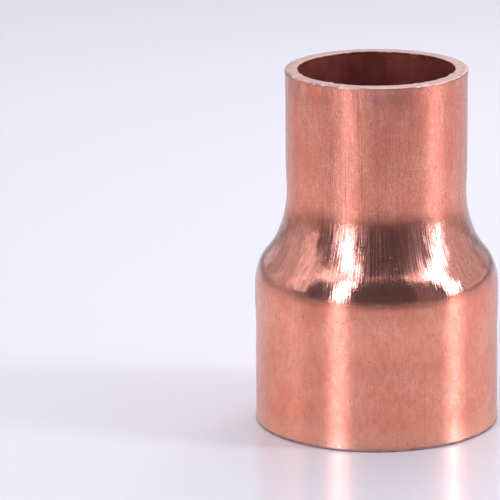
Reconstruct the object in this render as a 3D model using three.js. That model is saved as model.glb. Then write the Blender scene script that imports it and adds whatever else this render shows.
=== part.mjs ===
// Concentric reducing coupling for soldered copper tube, drawn from one length of tube.
//
// A wide socket below and a narrow socket above share one axis. A rounded shoulder,
// a short cone and a long soft neck join them, and just above the neck a waist in the
// wall narrows the bore, so that the narrow tube stops there. The wide tube stops
// where the shoulder starts to close in. It is a single piece of metal, open right
// through, and nothing on it moves.
//
// Millimetres, +Z up along the axis. The origin is the centre of the wide rim.
import * as THREE from "three";

// Driving dimensions.
const OVERALL_LENGTH = 36.6;
const WALL = 1.2;
const WIDE_BORE_RADIUS = 11.165; // 22.2 mm tube and its capillary gap
const NARROW_BORE_RADIUS = 7.99; // 15.9 mm tube and its capillary gap
const WIDE_STRAIGHT = 14.45; // height of the wide wall, from its rim to the shoulder
const NARROW_SOCKET_DEPTH = 10.6; // from the narrow rim down to the tube stop
const TUBE_STOP_STEP = 0.3; // how far the stop stands into the narrow bore
const WAIST_STEP = 0.08; // how far the outside draws in at the waist
const WAIST_RISE = 3.0; // height over which the waist opens to the full wall again
const CONE_ANGLE = THREE.MathUtils.degToRad(36.5); // between the cone and the axis
const SHOULDER_RADIUS = 5.0; // outside surface, convex
const NECK_RADIUS = 10.6; // outside surface, concave
const RIM_FLARE = 0.1; // how far each cut end stands proud of its wall
const RIM_FLARE_HEIGHT = 0.9;
const EDGE_BREAK = 0.12; // bevel along each rim's edges
const TURN_SEGMENTS = 72;
const ARC_DIVISIONS = 2; // each arc is drawn as twice this many straight runs

const WIDE_RADIUS = WIDE_BORE_RADIUS + WALL;
const NARROW_RADIUS = NARROW_BORE_RADIUS + WALL;
const WAIST_RADIUS = NARROW_RADIUS - WAIST_STEP;
const STOP_RADIUS = NARROW_BORE_RADIUS - TUBE_STOP_STEP;
const STOP_HEIGHT = OVERALL_LENGTH - NARROW_SOCKET_DEPTH;

const COPPER = new THREE.MeshStandardMaterial({
  name: "copper",
  color: 0xd08a72,
  roughness: 0.32,
  metalness: 1.0,
});

// Shoulder arc, cone and neck arc from the wide wall up to the narrow one. Each is
// tangent to the next, and the path draws the cone itself as the line between the arcs.
function transition(wideRadius, narrowRadius, shoulderRadius, neckRadius) {
  const bothArcs = shoulderRadius + neckRadius;
  const drawnIn = wideRadius - narrowRadius - bothArcs * (1 - Math.cos(CONE_ANGLE));
  const rise = bothArcs * Math.sin(CONE_ANGLE) + drawnIn / Math.tan(CONE_ANGLE);
  const neckHeight = WIDE_STRAIGHT + rise;
  const neckAngle = Math.PI + CONE_ANGLE;
  const path = new THREE.Path();
  path.absarc(wideRadius - shoulderRadius, WIDE_STRAIGHT, shoulderRadius, 0, CONE_ANGLE, false);
  path.absarc(narrowRadius + neckRadius, neckHeight, neckRadius, neckAngle, Math.PI, true);
  return path.getPoints(ARC_DIVISIONS);
}

// The outside surface, from the wide rim up to the narrow rim.
function outsideProfile() {
  const shoulderToNeck = transition(WIDE_RADIUS, WAIST_RADIUS, SHOULDER_RADIUS, NECK_RADIUS);
  const waistHeight = shoulderToNeck.at(-1).y;
  return [
    new THREE.Vector2(WIDE_RADIUS + RIM_FLARE - EDGE_BREAK, 0),
    new THREE.Vector2(WIDE_RADIUS + RIM_FLARE, EDGE_BREAK),
    new THREE.Vector2(WIDE_RADIUS, RIM_FLARE_HEIGHT),
    ...shoulderToNeck,
    new THREE.Vector2(NARROW_RADIUS, waistHeight + WAIST_RISE),
    new THREE.Vector2(NARROW_RADIUS, OVERALL_LENGTH - RIM_FLARE_HEIGHT),
    new THREE.Vector2(NARROW_RADIUS + RIM_FLARE, OVERALL_LENGTH - EDGE_BREAK),
    new THREE.Vector2(NARROW_RADIUS + RIM_FLARE - EDGE_BREAK, OVERALL_LENGTH),
  ];
}

// The inside surface, from the narrow rim down to the wide rim. Its shoulder arc shares
// the outside arc's centre, so the wall keeps its thickness there, and from the cone up
// to the tube stop the wall thickens a little.
function insideProfile() {
  const shoulderToStop = transition(
    WIDE_BORE_RADIUS,
    STOP_RADIUS,
    SHOULDER_RADIUS - WALL,
    NECK_RADIUS + WALL,
  );
  return [
    new THREE.Vector2(NARROW_BORE_RADIUS + EDGE_BREAK, OVERALL_LENGTH),
    new THREE.Vector2(NARROW_BORE_RADIUS, OVERALL_LENGTH - EDGE_BREAK),
    new THREE.Vector2(NARROW_BORE_RADIUS, STOP_HEIGHT),
    new THREE.Vector2(STOP_RADIUS, STOP_HEIGHT - TUBE_STOP_STEP),
    ...shoulderToStop.reverse(),
    new THREE.Vector2(WIDE_BORE_RADIUS, EDGE_BREAK),
    new THREE.Vector2(WIDE_BORE_RADIUS + EDGE_BREAK, 0),
  ];
}

// The closed wall section turned once round the axis, which is then stood upright.
function reducerBody() {
  const section = [...outsideProfile(), ...insideProfile()];
  section.push(section[0].clone());
  const geometry = new THREE.LatheGeometry(section, TURN_SEGMENTS);
  geometry.rotateX(Math.PI / 2);
  const mesh = new THREE.Mesh(geometry, COPPER);
  mesh.name = "reducer_body";
  return mesh;
}

const reducer = new THREE.Group();
reducer.add(reducerBody());

export default reducer;
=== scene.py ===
import math

import bpy
import numpy as np
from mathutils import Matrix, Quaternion, Vector, noise


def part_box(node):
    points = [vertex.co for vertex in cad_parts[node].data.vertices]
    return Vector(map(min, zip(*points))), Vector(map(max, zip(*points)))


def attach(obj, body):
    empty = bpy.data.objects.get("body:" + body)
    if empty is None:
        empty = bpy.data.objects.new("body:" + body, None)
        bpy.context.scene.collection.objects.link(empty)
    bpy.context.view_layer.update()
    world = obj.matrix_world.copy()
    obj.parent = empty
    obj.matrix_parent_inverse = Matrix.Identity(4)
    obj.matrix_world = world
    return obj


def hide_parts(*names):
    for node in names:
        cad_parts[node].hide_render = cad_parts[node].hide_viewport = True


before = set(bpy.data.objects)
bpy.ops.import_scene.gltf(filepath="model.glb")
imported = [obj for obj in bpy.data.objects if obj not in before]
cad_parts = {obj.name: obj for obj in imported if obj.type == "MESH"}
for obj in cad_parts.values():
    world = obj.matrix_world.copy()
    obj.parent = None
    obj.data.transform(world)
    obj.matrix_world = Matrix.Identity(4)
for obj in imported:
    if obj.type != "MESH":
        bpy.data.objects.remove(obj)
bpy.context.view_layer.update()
body_low, body_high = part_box("reducer_body")

MM = 0.001

# The fitting, in millimetres. Its overall sizes are the CAD body's own.
RIM_FLARE = 0.1  # how far each cut end stands proud of its wall
FLARE_REACH = 0.5  # how far along the wall that dies away
LENGTH = (body_high.z - body_low.z) / MM
WIDE_RADIUS = (body_high.x - body_low.x) / MM / 2 - RIM_FLARE
NARROW_RADIUS = 9.19
WALL = 1.2
WIDE_STRAIGHT = 14.45
CONE_ANGLE = math.radians(36.5)
SHOULDER_RADIUS = 5.0
NECK_RADIUS = 10.6
WAIST_STEP = 0.08  # the narrow wall draws in by this much just above the neck
WAIST_RISE = 3.0
NARROW_SOCKET_DEPTH = 10.6
STOP_STEP = 0.3  # the tube stop in the narrow socket
STOP_HEIGHT = LENGTH - NARROW_SOCKET_DEPTH
OUTER_EDGE = 0.18  # rounding of each cut end's outer edge
INNER_EDGE = 0.07
BURR = 0.04  # greatest height of the burr on the narrow rim's inner edge
BURR_LEAN = 3  # how many times further it leans inwards than it stands up
BURR_LUMPS, BURR_TEETH = 9, 24  # coarse and fine ones to a radian of the rim

# The mesh: segments to a turn, and the usual and finest spacing of its rows in millimetres.
# The rows are finest at both ends and at the shoulder outside or the tube stop inside.
TURN_SEGMENTS = 340
OUTSIDE_ROWS = (0.3, 0.07)
INSIDE_ROWS = (0.6, 0.1)
FINE_REACH = 3.0  # how far from such a place the spacing is usual again
SHOULDER_PLACE = 15

# Slight swells and hollows that forming leaves on the outside, in millimetres: how far
# out, at what height, and over what half width.
SWELLS = [
    (0.05, 13.1, 1.7),
    (-0.04, 9.6, 1.8),
    (0.025, 16.9, 0.7),
    (-0.055, 18.9, 1.2),
]

# The wall's unevenness, in millimetres: slow waves all over, and quicker ones that are
# strongest on the formed shoulder and cone.
SLOW_SIZE, SLOW_DEPTH = 7.0, 0.012
QUICK_SIZE, QUICK_DEPTH, QUICK_FORMED_DEPTH = 1.9, 0.002, 0.022
FORMED_HEIGHT, FORMED_REACH = 18.5, 3.2
BORE_SIZE, BORE_DEPTH = 4.0, 0.02


# ---------------------------------------------------------------- shape

def bend_heights(wide, narrow, shoulder, neck):
    """Heights where the shoulder arc ends, the neck arc starts and the neck arc ends."""
    drawn_in = wide - narrow - (shoulder + neck) * (1 - math.cos(CONE_ANGLE))
    shoulder_end = WIDE_STRAIGHT + shoulder * math.sin(CONE_ANGLE)
    neck_start = shoulder_end + drawn_in / math.tan(CONE_ANGLE)
    return shoulder_end, neck_start, neck_start + neck * math.sin(CONE_ANGLE)


def wall_radius(z, wide, narrow, shoulder, neck):
    """Radius of a wall that runs straight, round the shoulder, up the cone and round the neck."""
    shoulder_end, neck_start, neck_end = bend_heights(wide, narrow, shoulder, neck)
    on_shoulder = wide - shoulder + np.sqrt(
        np.clip(shoulder**2 - (z - WIDE_STRAIGHT) ** 2, 0, None)
    )
    cone_top = wide - shoulder * (1 - math.cos(CONE_ANGLE))
    on_cone = cone_top - (z - shoulder_end) * math.tan(CONE_ANGLE)
    on_neck = narrow + neck - np.sqrt(np.clip(neck**2 - (neck_end - z) ** 2, 0, None))
    return np.select(
        [z < WIDE_STRAIGHT, z < shoulder_end, z < neck_start, z < neck_end],
        [wide, on_shoulder, on_cone, on_neck],
        narrow,
    )


def ease(x, low, high):
    t = np.clip((x - low) / (high - low), 0, 1)
    return t * t * (3 - 2 * t)


def outside_radius(z):
    """The outside wall, with its swells and its flared ends."""
    waist = NARROW_RADIUS - WAIST_STEP
    radius = wall_radius(z, WIDE_RADIUS, waist, SHOULDER_RADIUS, NECK_RADIUS)
    neck_end = bend_heights(WIDE_RADIUS, waist, SHOULDER_RADIUS, NECK_RADIUS)[2]
    radius = radius + WAIST_STEP * ease(z, neck_end, neck_end + WAIST_RISE)
    for outwards, centre, width in SWELLS:
        radius = radius + outwards * np.exp(-(((z - centre) / width) ** 2))
    flare = np.exp(-z / FLARE_REACH) + np.exp(-(LENGTH - z) / FLARE_REACH)
    return radius + RIM_FLARE * flare


def inside_radius(z):
    """The bore, with the tube stop in the narrow socket."""
    bore = WIDE_RADIUS - WALL
    stop = NARROW_RADIUS - WALL - STOP_STEP
    radius = wall_radius(z, bore, stop, SHOULDER_RADIUS - WALL, NECK_RADIUS + WALL)
    return radius + STOP_STEP * ease(z, STOP_HEIGHT - STOP_STEP, STOP_HEIGHT)


def heights(low, high, step, fine_step, fine_places):
    """Heights from low to high, closer together near the fine places."""
    found = [low]
    while found[-1] < high:
        near = min(abs(found[-1] - place) for place in fine_places)
        blend = min(near / FINE_REACH, 1.0)
        found.append(found[-1] + fine_step + (step - fine_step) * blend)
    found = np.array(found)
    return low + (found - low) * (high - low) / (found[-1] - low)


OUTSIDE, EDGE, CUT, INSIDE = 0, 1, 2, 3  # material slots


class Section:
    """The closed wall section: points as radius and height, and what each run of them is."""

    def __init__(self):
        self.points = []
        self.surface = []
        self.burr = []

    def add(self, radius, height, surface, burr=0.0):
        self.points.append((float(radius), float(height)))
        self.surface.append(surface)
        self.burr.append(burr)

    def corner(self, radius, height, size, start, surface, burr=0.0, count=7):
        """A quarter circle round a centre, anticlockwise from the angle start."""
        for angle in np.linspace(start, start + math.pi / 2, count):
            self.add(radius + size * math.cos(angle), height + size * math.sin(angle),
                     surface, burr)

    def wall(self, radius_at, places, surface):
        for radius, height in zip(radius_at(places), places):
            self.add(radius, height, surface)

    def face(self, first, last, height, count=9):
        """A flat cut face between two radii, without its two end points."""
        for radius in np.linspace(first, last, count)[1:-1]:
            self.add(radius, height, CUT)


def radius_of(wall, height):
    return float(wall(np.array([height]))[0])


def wall_section():
    """The section from the table, up the outside, over the narrow rim and down the bore."""
    section = Section()
    top = LENGTH - BURR
    low_out = radius_of(outside_radius, OUTER_EDGE) - OUTER_EDGE
    top_out = radius_of(outside_radius, top - OUTER_EDGE) - OUTER_EDGE
    low_in = radius_of(inside_radius, INNER_EDGE) + INNER_EDGE
    top_in = radius_of(inside_radius, top - INNER_EDGE) + INNER_EDGE
    outer = heights(OUTER_EDGE, top - OUTER_EDGE, *OUTSIDE_ROWS, [0, SHOULDER_PLACE, LENGTH])
    inner = heights(INNER_EDGE, top - INNER_EDGE, *INSIDE_ROWS, [0, STOP_HEIGHT, LENGTH])
    section.corner(low_out, OUTER_EDGE, OUTER_EDGE, -math.pi / 2, EDGE)
    section.wall(outside_radius, outer[1:-1], OUTSIDE)
    section.corner(top_out, top - OUTER_EDGE, OUTER_EDGE, 0, EDGE)
    section.face(top_out, top_in, top)
    section.corner(top_in, top - INNER_EDGE, INNER_EDGE, math.pi / 2, EDGE, burr=1.0)
    section.wall(inside_radius, inner[-2:0:-1], INSIDE)
    section.corner(low_in, INNER_EDGE, INNER_EDGE, math.pi, CUT)
    section.face(low_in, low_out, 0.0)
    return section


def noise_at(x, y, z, size, seed):
    return noise.noise(Vector((x / size + seed, y / size, z / size)))


def unevenness(x, y, z, surface):
    """How far the metal stands out from the true shape here, in millimetres."""
    if surface == INSIDE:
        return BORE_DEPTH * noise_at(x, y, z, BORE_SIZE, seed=60)
    formed = math.exp(-(((z - FORMED_HEIGHT) / FORMED_REACH) ** 4))
    slow = noise_at(x, y, z, SLOW_SIZE, seed=0)
    quick = noise_at(x, y, z, QUICK_SIZE, seed=20)
    return SLOW_DEPTH * slow + (QUICK_DEPTH + QUICK_FORMED_DEPTH * formed) * quick


def burr_share(turn):
    """The ragged burr at this turn of the rim, as a share of its greatest height."""
    x, y = math.cos(turn), math.sin(turn)
    lumps = noise.noise(Vector((x * BURR_LUMPS, y * BURR_LUMPS, 3)))
    teeth = noise.noise(Vector((x * BURR_TEETH, y * BURR_TEETH, 8)))
    ragged = lumps + 0.8 * teeth
    return min(max(0.25 + 0.9 * ragged, 0.0), 1.0)


def build_mesh():
    """The section turned round the axis, with the metal's unevenness and the burr."""
    section = wall_section()
    rows = len(section.points)
    turns = [2 * math.pi * k / TURN_SEGMENTS for k in range(TURN_SEGMENTS)]
    verts = []
    for (radius, height), surface, burr in zip(section.points, section.surface, section.burr):
        for turn in turns:
            x, y = radius * math.cos(turn), radius * math.sin(turn)
            raised = burr * BURR * burr_share(turn)
            grown = radius + unevenness(x, y, height, surface) - BURR_LEAN * raised
            verts.append((grown * math.cos(turn), grown * math.sin(turn), height + raised))
    faces = []
    surfaces = []
    for i in range(rows):
        j = (i + 1) % rows
        for k in range(TURN_SEGMENTS):
            m = (k + 1) % TURN_SEGMENTS
            faces.append((i * TURN_SEGMENTS + k, i * TURN_SEGMENTS + m,
                          j * TURN_SEGMENTS + m, j * TURN_SEGMENTS + k))
            surfaces.append(section.surface[i])
    mesh = bpy.data.meshes.new("reducer")
    mesh.from_pydata([(x * MM, y * MM, z * MM) for x, y, z in verts], [], faces)
    mesh.polygons.foreach_set("material_index", surfaces)
    mesh.polygons.foreach_set("use_smooth", [True] * len(faces))
    mesh.validate()
    return mesh


# ---------------------------------------------------------------- materials

class Shader:
    """A few short calls that build one material's nodes."""

    def __init__(self, name):
        self.material = bpy.data.materials.new(name)
        self.material.use_nodes = True
        self.tree = self.material.node_tree
        self.principled = self.tree.nodes["Principled BSDF"]
        where = self.node("ShaderNodeTexCoord").outputs["Object"]
        self.place = self.vector("SCALE", where, scale=1 / MM)  # in millimetres
        self.height = self.vector("DOT_PRODUCT", self.place, (0, 0, 1))

    def node(self, kind, **attributes):
        made = self.tree.nodes.new(kind)
        for name, value in attributes.items():
            setattr(made, name, value)
        return made

    def feed(self, socket, value):
        if isinstance(value, bpy.types.NodeSocket):
            self.tree.links.new(value, socket)
        else:
            socket.default_value = value

    def vector(self, operation, first, second=None, scale=None):
        made = self.node("ShaderNodeVectorMath", operation=operation)
        self.feed(made.inputs[0], first)
        if second is not None:
            self.feed(made.inputs[1], second)
        if scale is not None:
            made.inputs["Scale"].default_value = scale
        return made.outputs["Value" if operation in ("LENGTH", "DOT_PRODUCT") else "Vector"]

    def round_the_axis(self):
        """Place measured round the axis, so that a line drawn along the wall stays one line."""
        flat = self.vector("NORMALIZE", self.vector("MULTIPLY", self.place, (1, 1, 0)))
        around = self.vector("SCALE", flat, scale=NARROW_RADIUS)
        return self.vector("ADD", around, self.vector("MULTIPLY", self.place, (0, 0, 1)))

    def maths(self, operation, first, second):
        made = self.node("ShaderNodeMath", operation=operation)
        self.feed(made.inputs[0], first)
        self.feed(made.inputs[1], second)
        return made.outputs[0]

    def times(self, first, second):
        return self.maths("MULTIPLY", first, second)

    def plus(self, first, second):
        return self.maths("ADD", first, second)

    def noise(self, stretch, detail=3.0, roughness=0.55, offset=(0, 0, 0)):
        """Noise whose grains measure stretch, in millimetres along x, y and z."""
        scaled = self.vector("MULTIPLY", self.place, [1 / s for s in stretch])
        made = self.node("ShaderNodeTexNoise")
        self.feed(made.inputs["Vector"], self.vector("ADD", scaled, offset))
        made.inputs["Scale"].default_value = 1.0
        made.inputs["Detail"].default_value = detail
        made.inputs["Roughness"].default_value = roughness
        return made.outputs["Fac"]

    def span(self, value, low, high, to_low=0.0, to_high=1.0, smooth=False):
        """to_low where the value is low, to_high where it is high, and between in between."""
        made = self.node("ShaderNodeMapRange")
        made.interpolation_type = "SMOOTHSTEP" if smooth else "LINEAR"
        for name, number in zip(("Value", "From Min", "From Max", "To Min", "To Max"),
                                (value, low, high, to_low, to_high)):
            self.feed(made.inputs[name], number)
        return made.outputs["Result"]

    def rise(self, low, high, to_low=0.0, to_high=1.0):
        """The same with the height in millimetres as the value."""
        return self.span(self.height, low, high, to_low, to_high)

    def soft_rise(self, low, high, to_low=0.0, to_high=1.0):
        return self.span(self.height, low, high, to_low, to_high, smooth=True)

    def mix(self, share, first, second):
        made = self.node("ShaderNodeMix", data_type="RGBA")
        self.feed(made.inputs["Factor"], share)
        self.feed(made.inputs["A"], first)
        self.feed(made.inputs["B"], second)
        return next(o for o in made.outputs if o.type == "RGBA")

    def patch(self, turn, height, across, tall):
        """One at a place on the narrow wall, easing to nought at its edge."""
        a = math.radians(turn)
        centre = (NARROW_RADIUS * math.sin(a), -NARROW_RADIUS * math.cos(a), height)
        away = self.vector("SUBTRACT", self.place, centre)
        away = self.vector("MULTIPLY", away, (1 / across, 1 / across, 1 / tall))
        return self.span(self.vector("LENGTH", away), 0.3, 1.0, 1.0, 0.0, smooth=True)

    def bump(self, height, distance, normal=None):
        """Bump whose greatest height is distance, in millimetres."""
        made = self.node("ShaderNodeBump")
        made.inputs["Distance"].default_value = distance * MM
        self.feed(made.inputs["Height"], height)
        if normal is not None:
            self.feed(made.inputs["Normal"], normal)
        return made.outputs["Normal"]

    def metal(self, tone, roughness, normal):
        """Joins up the finished colour, roughness and bump, and returns the material."""
        self.feed(self.principled.inputs["Base Color"], tone)
        self.feed(self.principled.inputs["Roughness"], roughness)
        self.feed(self.principled.inputs["Normal"], normal)
        self.principled.inputs["Metallic"].default_value = 1.0
        return self.material


def colour(red, green, blue):
    return (red, green, blue, 1.0)


# The drawn outside
COPPER_DEEP = colour(0.945, 0.325, 0.215)
COPPER_PALE = colour(1.0, 0.425, 0.295)
COPPER_FORMED = colour(0.84, 0.39, 0.32)
# Painted reflection: the foot is lighter to stand for the bright floor it mirrors
COPPER_FOOT_REFLECTION = colour(1.0, 0.47, 0.33)
MOTTLE_DARK = colour(0.60, 0.17, 0.12)
GRAIN_DARK = colour(0.54, 0.16, 0.12)
HAIR_DARK = colour(0.50, 0.15, 0.12)
SCRATCH_DARK = colour(0.44, 0.12, 0.10)
PIT_DARK = colour(0.28, 0.09, 0.07)
RIM_STAIN = colour(0.42, 0.17, 0.16)
RIM_LINE = colour(0.42, 0.18, 0.16)
GRAZING_TINT = colour(0.80, 0.96, 1.0)

# The cut faces, the cut edges and the bore
CUT_DEEP = colour(0.53, 0.32, 0.28)
CUT_PALE = colour(0.67, 0.43, 0.375)
CUT_GRAIN = colour(0.50, 0.27, 0.25)
# Painted shade: the edge tones are darkened to give the dark line along the edges
EDGE_SHADED_DEEP = colour(0.42, 0.22, 0.19)
EDGE_SHADED_PALE = colour(0.64, 0.37, 0.32)
EDGE_GRAIN = colour(0.30, 0.13, 0.11)
# Painted glints on the edges
EDGE_PAINTED_GLINT = colour(0.96, 0.76, 0.68)
# Painted shade: the bore's tones are darkened for the shade inside it
BORE_SHADED_DEEP = colour(0.285, 0.066, 0.048)
BORE_SHADED_PALE = colour(0.335, 0.09, 0.067)
BORE_LINE = colour(0.18, 0.05, 0.04)
# Painted glints in the bore
BORE_PAINTED_GLINT = colour(0.95, 0.62, 0.52)

FLOOR_TONE = colour(0.70, 0.675, 0.695)

# Heat and flux stains under the narrow rim: turn from the front in degrees, distance below
# the rim, size across and along in millimetres, strength and colour.
STAINS = [
    (-42, 1.4, 0.9, 1.9, 0.65, colour(0.76, 0.20, 0.11)),
    (3, 1.0, 1.6, 1.3, 0.60, colour(0.52, 0.23, 0.22)),
    (15, 0.8, 2.0, 2.0, 0.90, colour(0.46, 0.18, 0.13)),
    (19, 2.4, 2.4, 2.8, 0.35, colour(0.66, 0.23, 0.16)),
    (118, 1.6, 1.8, 2.2, 0.50, colour(0.60, 0.22, 0.18)),
    (-150, 1.2, 2.6, 1.8, 0.45, colour(0.52, 0.22, 0.20)),
]

# A rubbed area on one side of the cone: turn in degrees, height, and size across and along
# in millimetres.
RUBBED = (-55, 18.6, 6.5, 5.0)

# Heights between which the outside's finish and its painted reflection at the foot change, in
# millimetres
# where the painted reflection of the floor at the foot fades out
FOOT_REFLECTION_END = (0.3, 3.0)
WIDE_WALL_END = (12.0, 15.0)
LINES_GROW = (12.0, 17.0)
FORMED_START, FORMED_END = (14.9, 16.1), (20.8, 22.8)
CONE_START, CONE_END = (16.2, 17.8), (21.0, 23.0)
WALLS_BLEND = (13.0, 24.0)
GRAIN_GROWS = (21.0, 24.0)
LINES_GROW_AGAIN = (21.0, 25.0)
NARROW_WALL_START = (22.0, 26.0)


class DrawnCopper:
    """The outside: soft satin walls, a brighter formed cone, and lines drawn along it all."""

    def __init__(self):
        s = Shader("copper_drawn")
        s.place = s.round_the_axis()
        self.shader = s
        self.formed = s.times(s.soft_rise(*FORMED_START), s.soft_rise(*FORMED_END, 1.0, 0.0))
        self.cone = s.times(s.soft_rise(*CONE_START), s.soft_rise(*CONE_END, 1.0, 0.0))
        self.rubbed = s.patch(*RUBBED)
        self.lines = s.noise((0.07, 0.07, 8.0), detail=1.0, roughness=0.5)
        self.broad = s.noise((0.5, 0.5, 22.0), detail=1.0, offset=(7, 3, 1))
        self.grain = s.noise((0.11, 0.11, 0.15), detail=1.5, offset=(3, 9, 2))
        self.mottle = s.noise((0.40, 0.40, 0.9), detail=3.0, roughness=0.65, offset=(1, 5, 8))
        self.cloud = s.noise((3.0, 3.0, 5.0), detail=3.0, roughness=0.6, offset=(4, 1, 3))

    def tone(self):
        """Cloudy copper with mottling, grain, short and long marks along it, pits, and a painted
        reflection of the bright floor at the foot.
        """
        s = self.shader
        hairs = s.noise((0.07, 0.07, 1.6), detail=1.0, roughness=0.5, offset=(31, 7, 2))
        scratches = s.noise((0.10, 0.10, 14.0), detail=0.0, offset=(11, 3, 6))
        pits = s.noise((0.16, 0.16, 0.4), detail=1.5, offset=(13, 2, 7))
        foot_reflection = s.soft_rise(*FOOT_REFLECTION_END, 1.0, 0.0)
        grained = s.times(s.span(self.grain, 0.46, 0.70), s.rise(*WALLS_BLEND, 0.22, 0.70))
        haired = s.times(s.span(hairs, 0.50, 0.62), s.rise(*WALLS_BLEND, 0.13, 0.28))
        scratched = s.times(s.span(scratches, 0.66, 0.74), s.rise(*WALLS_BLEND, 0.10, 0.50))
        tone = s.mix(s.span(self.cloud, 0.35, 0.68), COPPER_DEEP, COPPER_PALE)
        tone = s.mix(s.times(self.formed, 0.8), tone, COPPER_FORMED)
        tone = s.mix(s.span(self.mottle, 0.42, 0.70, 0.0, 0.32), tone, MOTTLE_DARK)
        tone = s.mix(grained, tone, GRAIN_DARK)
        tone = s.mix(haired, tone, HAIR_DARK)
        # painted reflection of the bright floor, lighter copper near the foot
        tone = s.mix(s.times(foot_reflection, 0.8), tone, COPPER_FOOT_REFLECTION)
        tone = s.mix(scratched, tone, SCRATCH_DARK)
        tone = s.mix(s.span(pits, 0.68, 0.76, 0.0, 0.5), tone, PIT_DARK)
        return self.rim_stains(tone)

    def rim_stains(self, tone):
        """Streaks all round under the narrow rim, a thin line at it, and single stains."""
        s = self.shader
        near_rim = s.soft_rise(LENGTH - 3.5, LENGTH - 0.3)
        streaks = s.noise((0.9, 0.9, 3.0), detail=2.0, offset=(2, 8, 6))
        tone = s.mix(s.times(near_rim, s.span(streaks, 0.48, 0.66, 0.0, 0.6)), tone, RIM_STAIN)
        tone = s.mix(s.rise(LENGTH - 0.5, LENGTH - 0.25, 0.0, 0.3), tone, RIM_LINE)
        broken = s.span(self.mottle, 0.35, 0.60, 0.55, 1.0)
        for turn, below_rim, across, tall, share, stain_tone in STAINS:
            spot = s.patch(turn, LENGTH - below_rim, across, tall)
            tone = s.mix(s.times(s.times(spot, broken), share), tone, stain_tone)
        return tone

    def roughness(self):
        """Smoothest on the formed cone, except along its drawn lines."""
        s = self.shader
        rough = s.span(self.mottle, 0.3, 0.7, 0.23, 0.27)
        rough = s.maths("SUBTRACT", rough, s.times(self.formed, 0.13))
        rough = s.plus(rough, s.soft_rise(*WIDE_WALL_END, 0.035, 0.0))
        rough = s.plus(rough, s.soft_rise(*NARROW_WALL_START, 0.0, 0.035))
        rough = s.plus(rough, s.times(self.rubbed, 0.14))
        lined = s.times(s.span(self.lines, 0.44, 0.58, 0.0, 0.18), self.cone)
        lined = s.times(lined, s.span(self.cloud, 0.40, 0.58, 0.6, 1.0))
        lined = s.times(lined, s.span(self.rubbed, 0.0, 0.8, 1.0, 0.0))
        return s.plus(rough, lined)

    def normal(self):
        """Drawn lines, wide and fine, with dents and nicks on the cone and a fine grain."""
        s = self.shader
        draw = s.plus(s.rise(*LINES_GROW, 0.5, 1.3), s.rise(*LINES_GROW_AGAIN, 0.0, 0.45))
        draw = s.times(draw, s.span(self.cloud, 0.38, 0.60, 0.65, 1.0))
        draw = s.times(draw, s.span(self.rubbed, 0.0, 0.8, 1.0, 0.1))
        wide_draw = s.times(s.span(self.cone, 0, 1, 0.25, 1.0),
                            s.span(self.rubbed, 0, 1, 1.0, 0.4))
        dents = s.noise((1.3, 1.3, 1.5), detail=1.0, offset=(17, 6, 5))
        dented = s.plus(s.span(self.formed, 0, 1, 0.04, 1.0), s.times(self.rubbed, 0.5))
        nicks = s.noise((0.28, 0.28, 0.16), detail=1.0, offset=(8, 16, 25))
        nicked = s.times(s.span(nicks, 0.735, 0.81), self.cone)
        sand = s.rise(*GRAIN_GROWS, 0.45, 0.65)
        sand = s.times(sand, s.span(self.rubbed, 0.0, 1.0, 1.0, 0.4))
        normal = s.bump(s.times(self.lines, draw), 0.009)
        normal = s.bump(s.times(self.broad, wide_draw), 0.009, normal)
        normal = s.bump(s.times(dents, dented), 0.06, normal)
        normal = s.bump(nicked, 0.013, normal)
        return s.bump(s.times(self.grain, sand), 0.011, normal)

    def material(self):
        self.shader.principled.inputs["Specular Tint"].default_value = GRAZING_TINT
        return self.shader.metal(self.tone(), self.roughness(), self.normal())


def cut_copper():
    """The cut faces of both ends."""
    s = Shader("copper_cut")
    grain = s.noise((0.12, 0.12, 0.12), detail=3.0)
    patches = s.noise((1.4, 1.4, 1.4), detail=3.0, offset=(5, 5, 5))
    tone = s.mix(s.span(patches, 0.35, 0.65), CUT_DEEP, CUT_PALE)
    tone = s.mix(s.span(grain, 0.5, 0.75, 0.0, 0.4), tone, CUT_GRAIN)
    return s.metal(tone, s.span(grain, 0.3, 0.7, 0.30, 0.42), s.bump(grain, 0.008))


def edge_copper():
    """The dulled outer edges of both ends and the narrow rim's inner edge, with their colour
    darkened as painted shade for the dark line along them, and painted glints as bright flecks.
    """
    s = Shader("copper_edge")
    grain = s.noise((0.10, 0.10, 0.10), detail=2.0)
    patches = s.noise((2.0, 2.0, 2.0), detail=3.0, offset=(2, 7, 5))
    # darkened tones, painted shade for the dark line along the edges
    tone = s.mix(s.span(patches, 0.38, 0.62), EDGE_SHADED_DEEP, EDGE_SHADED_PALE)
    tone = s.mix(s.span(grain, 0.5, 0.75, 0.0, 0.4), tone, EDGE_GRAIN)
    # painted glints: bright flecks on the edges near the narrow rim
    glint_flecks = s.noise((0.8, 0.8, 0.5), detail=2.0, offset=(14, 4, 6))
    on_narrow_rim = s.rise(20.0, 21.0, 0.0, 0.7)
    tone = s.mix(s.times(s.span(glint_flecks, 0.60, 0.72), on_narrow_rim), tone, EDGE_PAINTED_GLINT)
    return s.metal(tone, s.span(grain, 0.3, 0.7, 0.34, 0.46), s.bump(grain, 0.01))


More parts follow.
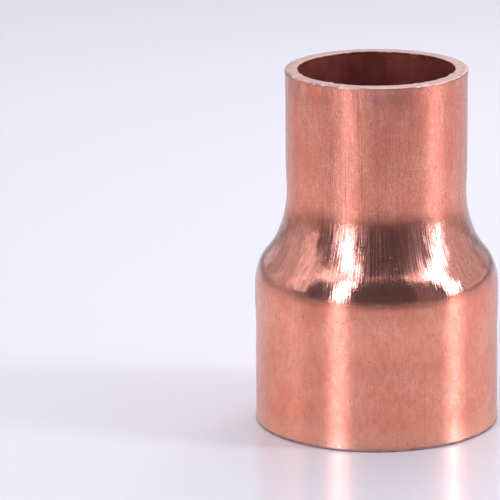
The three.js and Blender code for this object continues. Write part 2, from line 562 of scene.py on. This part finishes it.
def inside_copper():
    """The dark bore, its colour darkened as painted shade inside it, with faint lines along it
    and painted glints as bright specks near the narrow rim.
    """
    s = Shader("copper_bore")
    s.place = s.round_the_axis()
    lines = s.noise((0.2, 0.2, 12.0), detail=2.0)
    blotch = s.noise((1.2, 1.2, 1.8), detail=4.0, offset=(9, 2, 4))
    # darkened tones, painted shade inside the bore
    tone = s.mix(s.span(blotch, 0.35, 0.68), BORE_SHADED_DEEP, BORE_SHADED_PALE)
    tone = s.mix(s.span(lines, 0.4, 0.7, 0.0, 0.3), tone, BORE_LINE)
    # painted glints: bright specks near the narrow rim
    glint_specks = s.noise((0.22, 0.22, 0.3), detail=1.0, offset=(6, 1, 9))
    near_rim = s.soft_rise(LENGTH - 2.5, LENGTH - 0.2)
    tone = s.mix(s.times(near_rim, s.span(glint_specks, 0.76, 0.80)), tone, BORE_PAINTED_GLINT)
    return s.metal(tone, s.span(blotch, 0.3, 0.7, 0.56, 0.68), s.bump(blotch, 0.02))


def floor_paint():
    s = Shader("studio_floor")
    s.principled.inputs["Base Color"].default_value = FLOOR_TONE
    s.principled.inputs["Roughness"].default_value = 0.15
    s.principled.inputs["Specular IOR Level"].default_value = 0.95
    return s.material


# ---------------------------------------------------------------- object

def place_reducer():
    piece = bpy.data.objects.new("reducer", build_mesh())
    bpy.context.scene.collection.objects.link(piece)
    for material in (DrawnCopper().material(), edge_copper(), cut_copper(), inside_copper()):
        piece.data.materials.append(material)
    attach(piece, "root")
    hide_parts("reducer_body")


# ---------------------------------------------------------------- stage

FLOOR_RADIUS = 4.0
FLOOR_SEGMENTS = 96
FLOOR_GAP = 0.02 * MM  # the floor lies this far under the object

FAR = 0.6  # distances of the lights from the object, in metres
NEAR = 0.45
CLOSE = 0.24
PLAIN = (1.0, 1.0, 1.0)
COOL = (0.94, 0.96, 1.03)
BLUISH = (0.92, 0.98, 1.15)

# Soft lights round the object: name, azimuth, lowest and highest elevation and width in
# degrees, brightness, tint, distance and shape.
LIGHTS = [
    ("strip_left", -36, 1.5, 60, 7.2, 12.8, BLUISH, NEAR, "ELLIPSE"),
    ("strip_right", 78.5, 2.5, 58, 10.0, 10.6, BLUISH, NEAR, "ELLIPSE"),
    ("side_left", -84, 10, 42, 19, 1.1, PLAIN, FAR, "RECTANGLE"),
    ("low_left", -107, 6, 44, 28, 0.40, PLAIN, FAR, "RECTANGLE"),
    ("fill_right", 52, 4, 50, 20, 0.14, PLAIN, FAR, "RECTANGLE"),
    ("bar_left", -72, 44, 57, 44, 0.42, PLAIN, FAR, "RECTANGLE"),
    ("side_right", 113, 5, 40, 46, 0.54, PLAIN, FAR, "RECTANGLE"),
    ("back_left", -128, 5, 28, 40, 0.33, PLAIN, FAR, "RECTANGLE"),
    ("back", 180, 5, 27, 78, 0.50, COOL, FAR, "RECTANGLE"),
    ("strip_back", 158, 30, 60, 14, 4.0, COOL, CLOSE, "RECTANGLE"),
    ("overhead", 180, 28, 116, 91, 1.34, COOL, CLOSE, "RECTANGLE"),
]

ROOM_DIM = (0.12, 0.12, 0.14, 1)
ROOM_PALE = (0.42, 0.42, 0.46, 1)
PALE_WALL_TOP = (0.13, 0.07)  # sine of the elevation where the pale wall ends and is full
PALE_WALL_FRONT = (-0.55, 0.05)  # Y of the direction where it starts and is full

# The camera: lens in millimetres, distance in metres and angles in degrees
LENS = 288.0
CAMERA_DISTANCE = 0.4073
CAMERA_ELEVATION = 15.05
CAMERA_YAW = 1.876
CAMERA_PITCH = -0.085
CAMERA_ROLL = -0.526
CLIP_START, CLIP_END = 0.01, 20.0


def place_floor():
    """A wide round pale floor, so that it reaches the horizon from every side."""
    turns = [2 * math.pi * k / FLOOR_SEGMENTS for k in range(FLOOR_SEGMENTS)]
    verts = [(FLOOR_RADIUS * math.cos(a), FLOOR_RADIUS * math.sin(a), 0.0) for a in turns]
    mesh = bpy.data.meshes.new("studio_floor")
    mesh.from_pydata(verts, [], [range(FLOOR_SEGMENTS)])
    mesh.materials.append(floor_paint())
    floor = bpy.data.objects.new("studio_floor", mesh)
    floor.location.z = body_low.z - FLOOR_GAP
    bpy.context.scene.collection.objects.link(floor)


def direction(azimuth, elevation):
    """Unit vector from the object. Azimuth 0 is the camera's side, and 90 is +X."""
    a, e = math.radians(azimuth), math.radians(elevation)
    return Vector((math.sin(a) * math.cos(e), -math.cos(a) * math.cos(e), math.sin(e)))


def softbox(name, azimuth, lowest, highest, across, brightness, tint, distance, shape):
    """An area light facing the object, across degrees wide, equally bright at any size."""
    width = 2 * distance * math.tan(math.radians(across / 2))
    height = 2 * distance * math.tan(math.radians((highest - lowest) / 2))
    area = width * height * (math.pi / 4 if shape == "ELLIPSE" else 1)
    light = bpy.data.lights.new(name, "AREA")
    light.shape = shape
    light.size, light.size_y = width, height
    light.energy = brightness * math.pi * area
    light.color = tint
    lamp = bpy.data.objects.new(name, light)
    towards = direction(azimuth, (lowest + highest) / 2)
    lamp.location = towards * distance
    lamp.rotation_euler = towards.to_track_quat("Z", "Y").to_euler()
    lamp.visible_camera = False
    bpy.context.scene.collection.objects.link(lamp)


def place_room():
    """A dim room with a pale low wall round the sides and back, and none in front."""
    world = bpy.data.worlds.new("studio")
    world.use_nodes = True
    tree = world.node_tree
    where = tree.nodes.new("ShaderNodeTexCoord").outputs["Generated"]

    def share(axis, start, end):
        along = tree.nodes.new("ShaderNodeVectorMath")
        along.operation = "DOT_PRODUCT"
        along.inputs[1].default_value = axis
        tree.links.new(where, along.inputs[0])
        ramp = tree.nodes.new("ShaderNodeMapRange")
        ramp.interpolation_type = "SMOOTHSTEP"
        ramp.inputs["From Min"].default_value = start
        ramp.inputs["From Max"].default_value = end
        tree.links.new(along.outputs["Value"], ramp.inputs["Value"])
        return ramp.outputs["Result"]

    wall = tree.nodes.new("ShaderNodeMath")
    wall.operation = "MULTIPLY"
    tree.links.new(share((0, 0, 1), *PALE_WALL_TOP), wall.inputs[0])
    tree.links.new(share((0, 1, 0), *PALE_WALL_FRONT), wall.inputs[1])
    tone = tree.nodes.new("ShaderNodeMix")
    tone.data_type = "RGBA"
    tree.links.new(wall.outputs[0], tone.inputs["Factor"])
    tone.inputs["A"].default_value = ROOM_DIM
    tone.inputs["B"].default_value = ROOM_PALE
    result = next(o for o in tone.outputs if o.type == "RGBA")
    tree.links.new(result, tree.nodes["Background"].inputs["Color"])
    bpy.context.scene.world = world


def turned(axis, degrees):
    return Quaternion(axis, math.radians(degrees))


def place_camera():
    """Looks slightly down, turned so that the object stands right of the middle."""
    camera = bpy.data.cameras.new("camera")
    camera.lens = LENS
    camera.clip_start, camera.clip_end = CLIP_START, CLIP_END
    eye = bpy.data.objects.new("camera", camera)
    bpy.context.scene.collection.objects.link(eye)
    centre = Vector((0, 0, (body_low.z + body_high.z) / 2))
    away = direction(0, CAMERA_ELEVATION)
    eye.location = centre + away * CAMERA_DISTANCE
    aim = turned((0, 0, 1), CAMERA_YAW) @ away.to_track_quat("Z", "Y")
    aim = aim @ turned((1, 0, 0), CAMERA_PITCH) @ turned((0, 0, 1), CAMERA_ROLL)
    eye.rotation_euler = aim.to_euler()
    bpy.context.scene.camera = eye
    bpy.context.scene.view_settings.view_transform = "Standard"


place_camera()
place_reducer()
place_floor()
for light in LIGHTS:
    softbox(*light)
place_room()
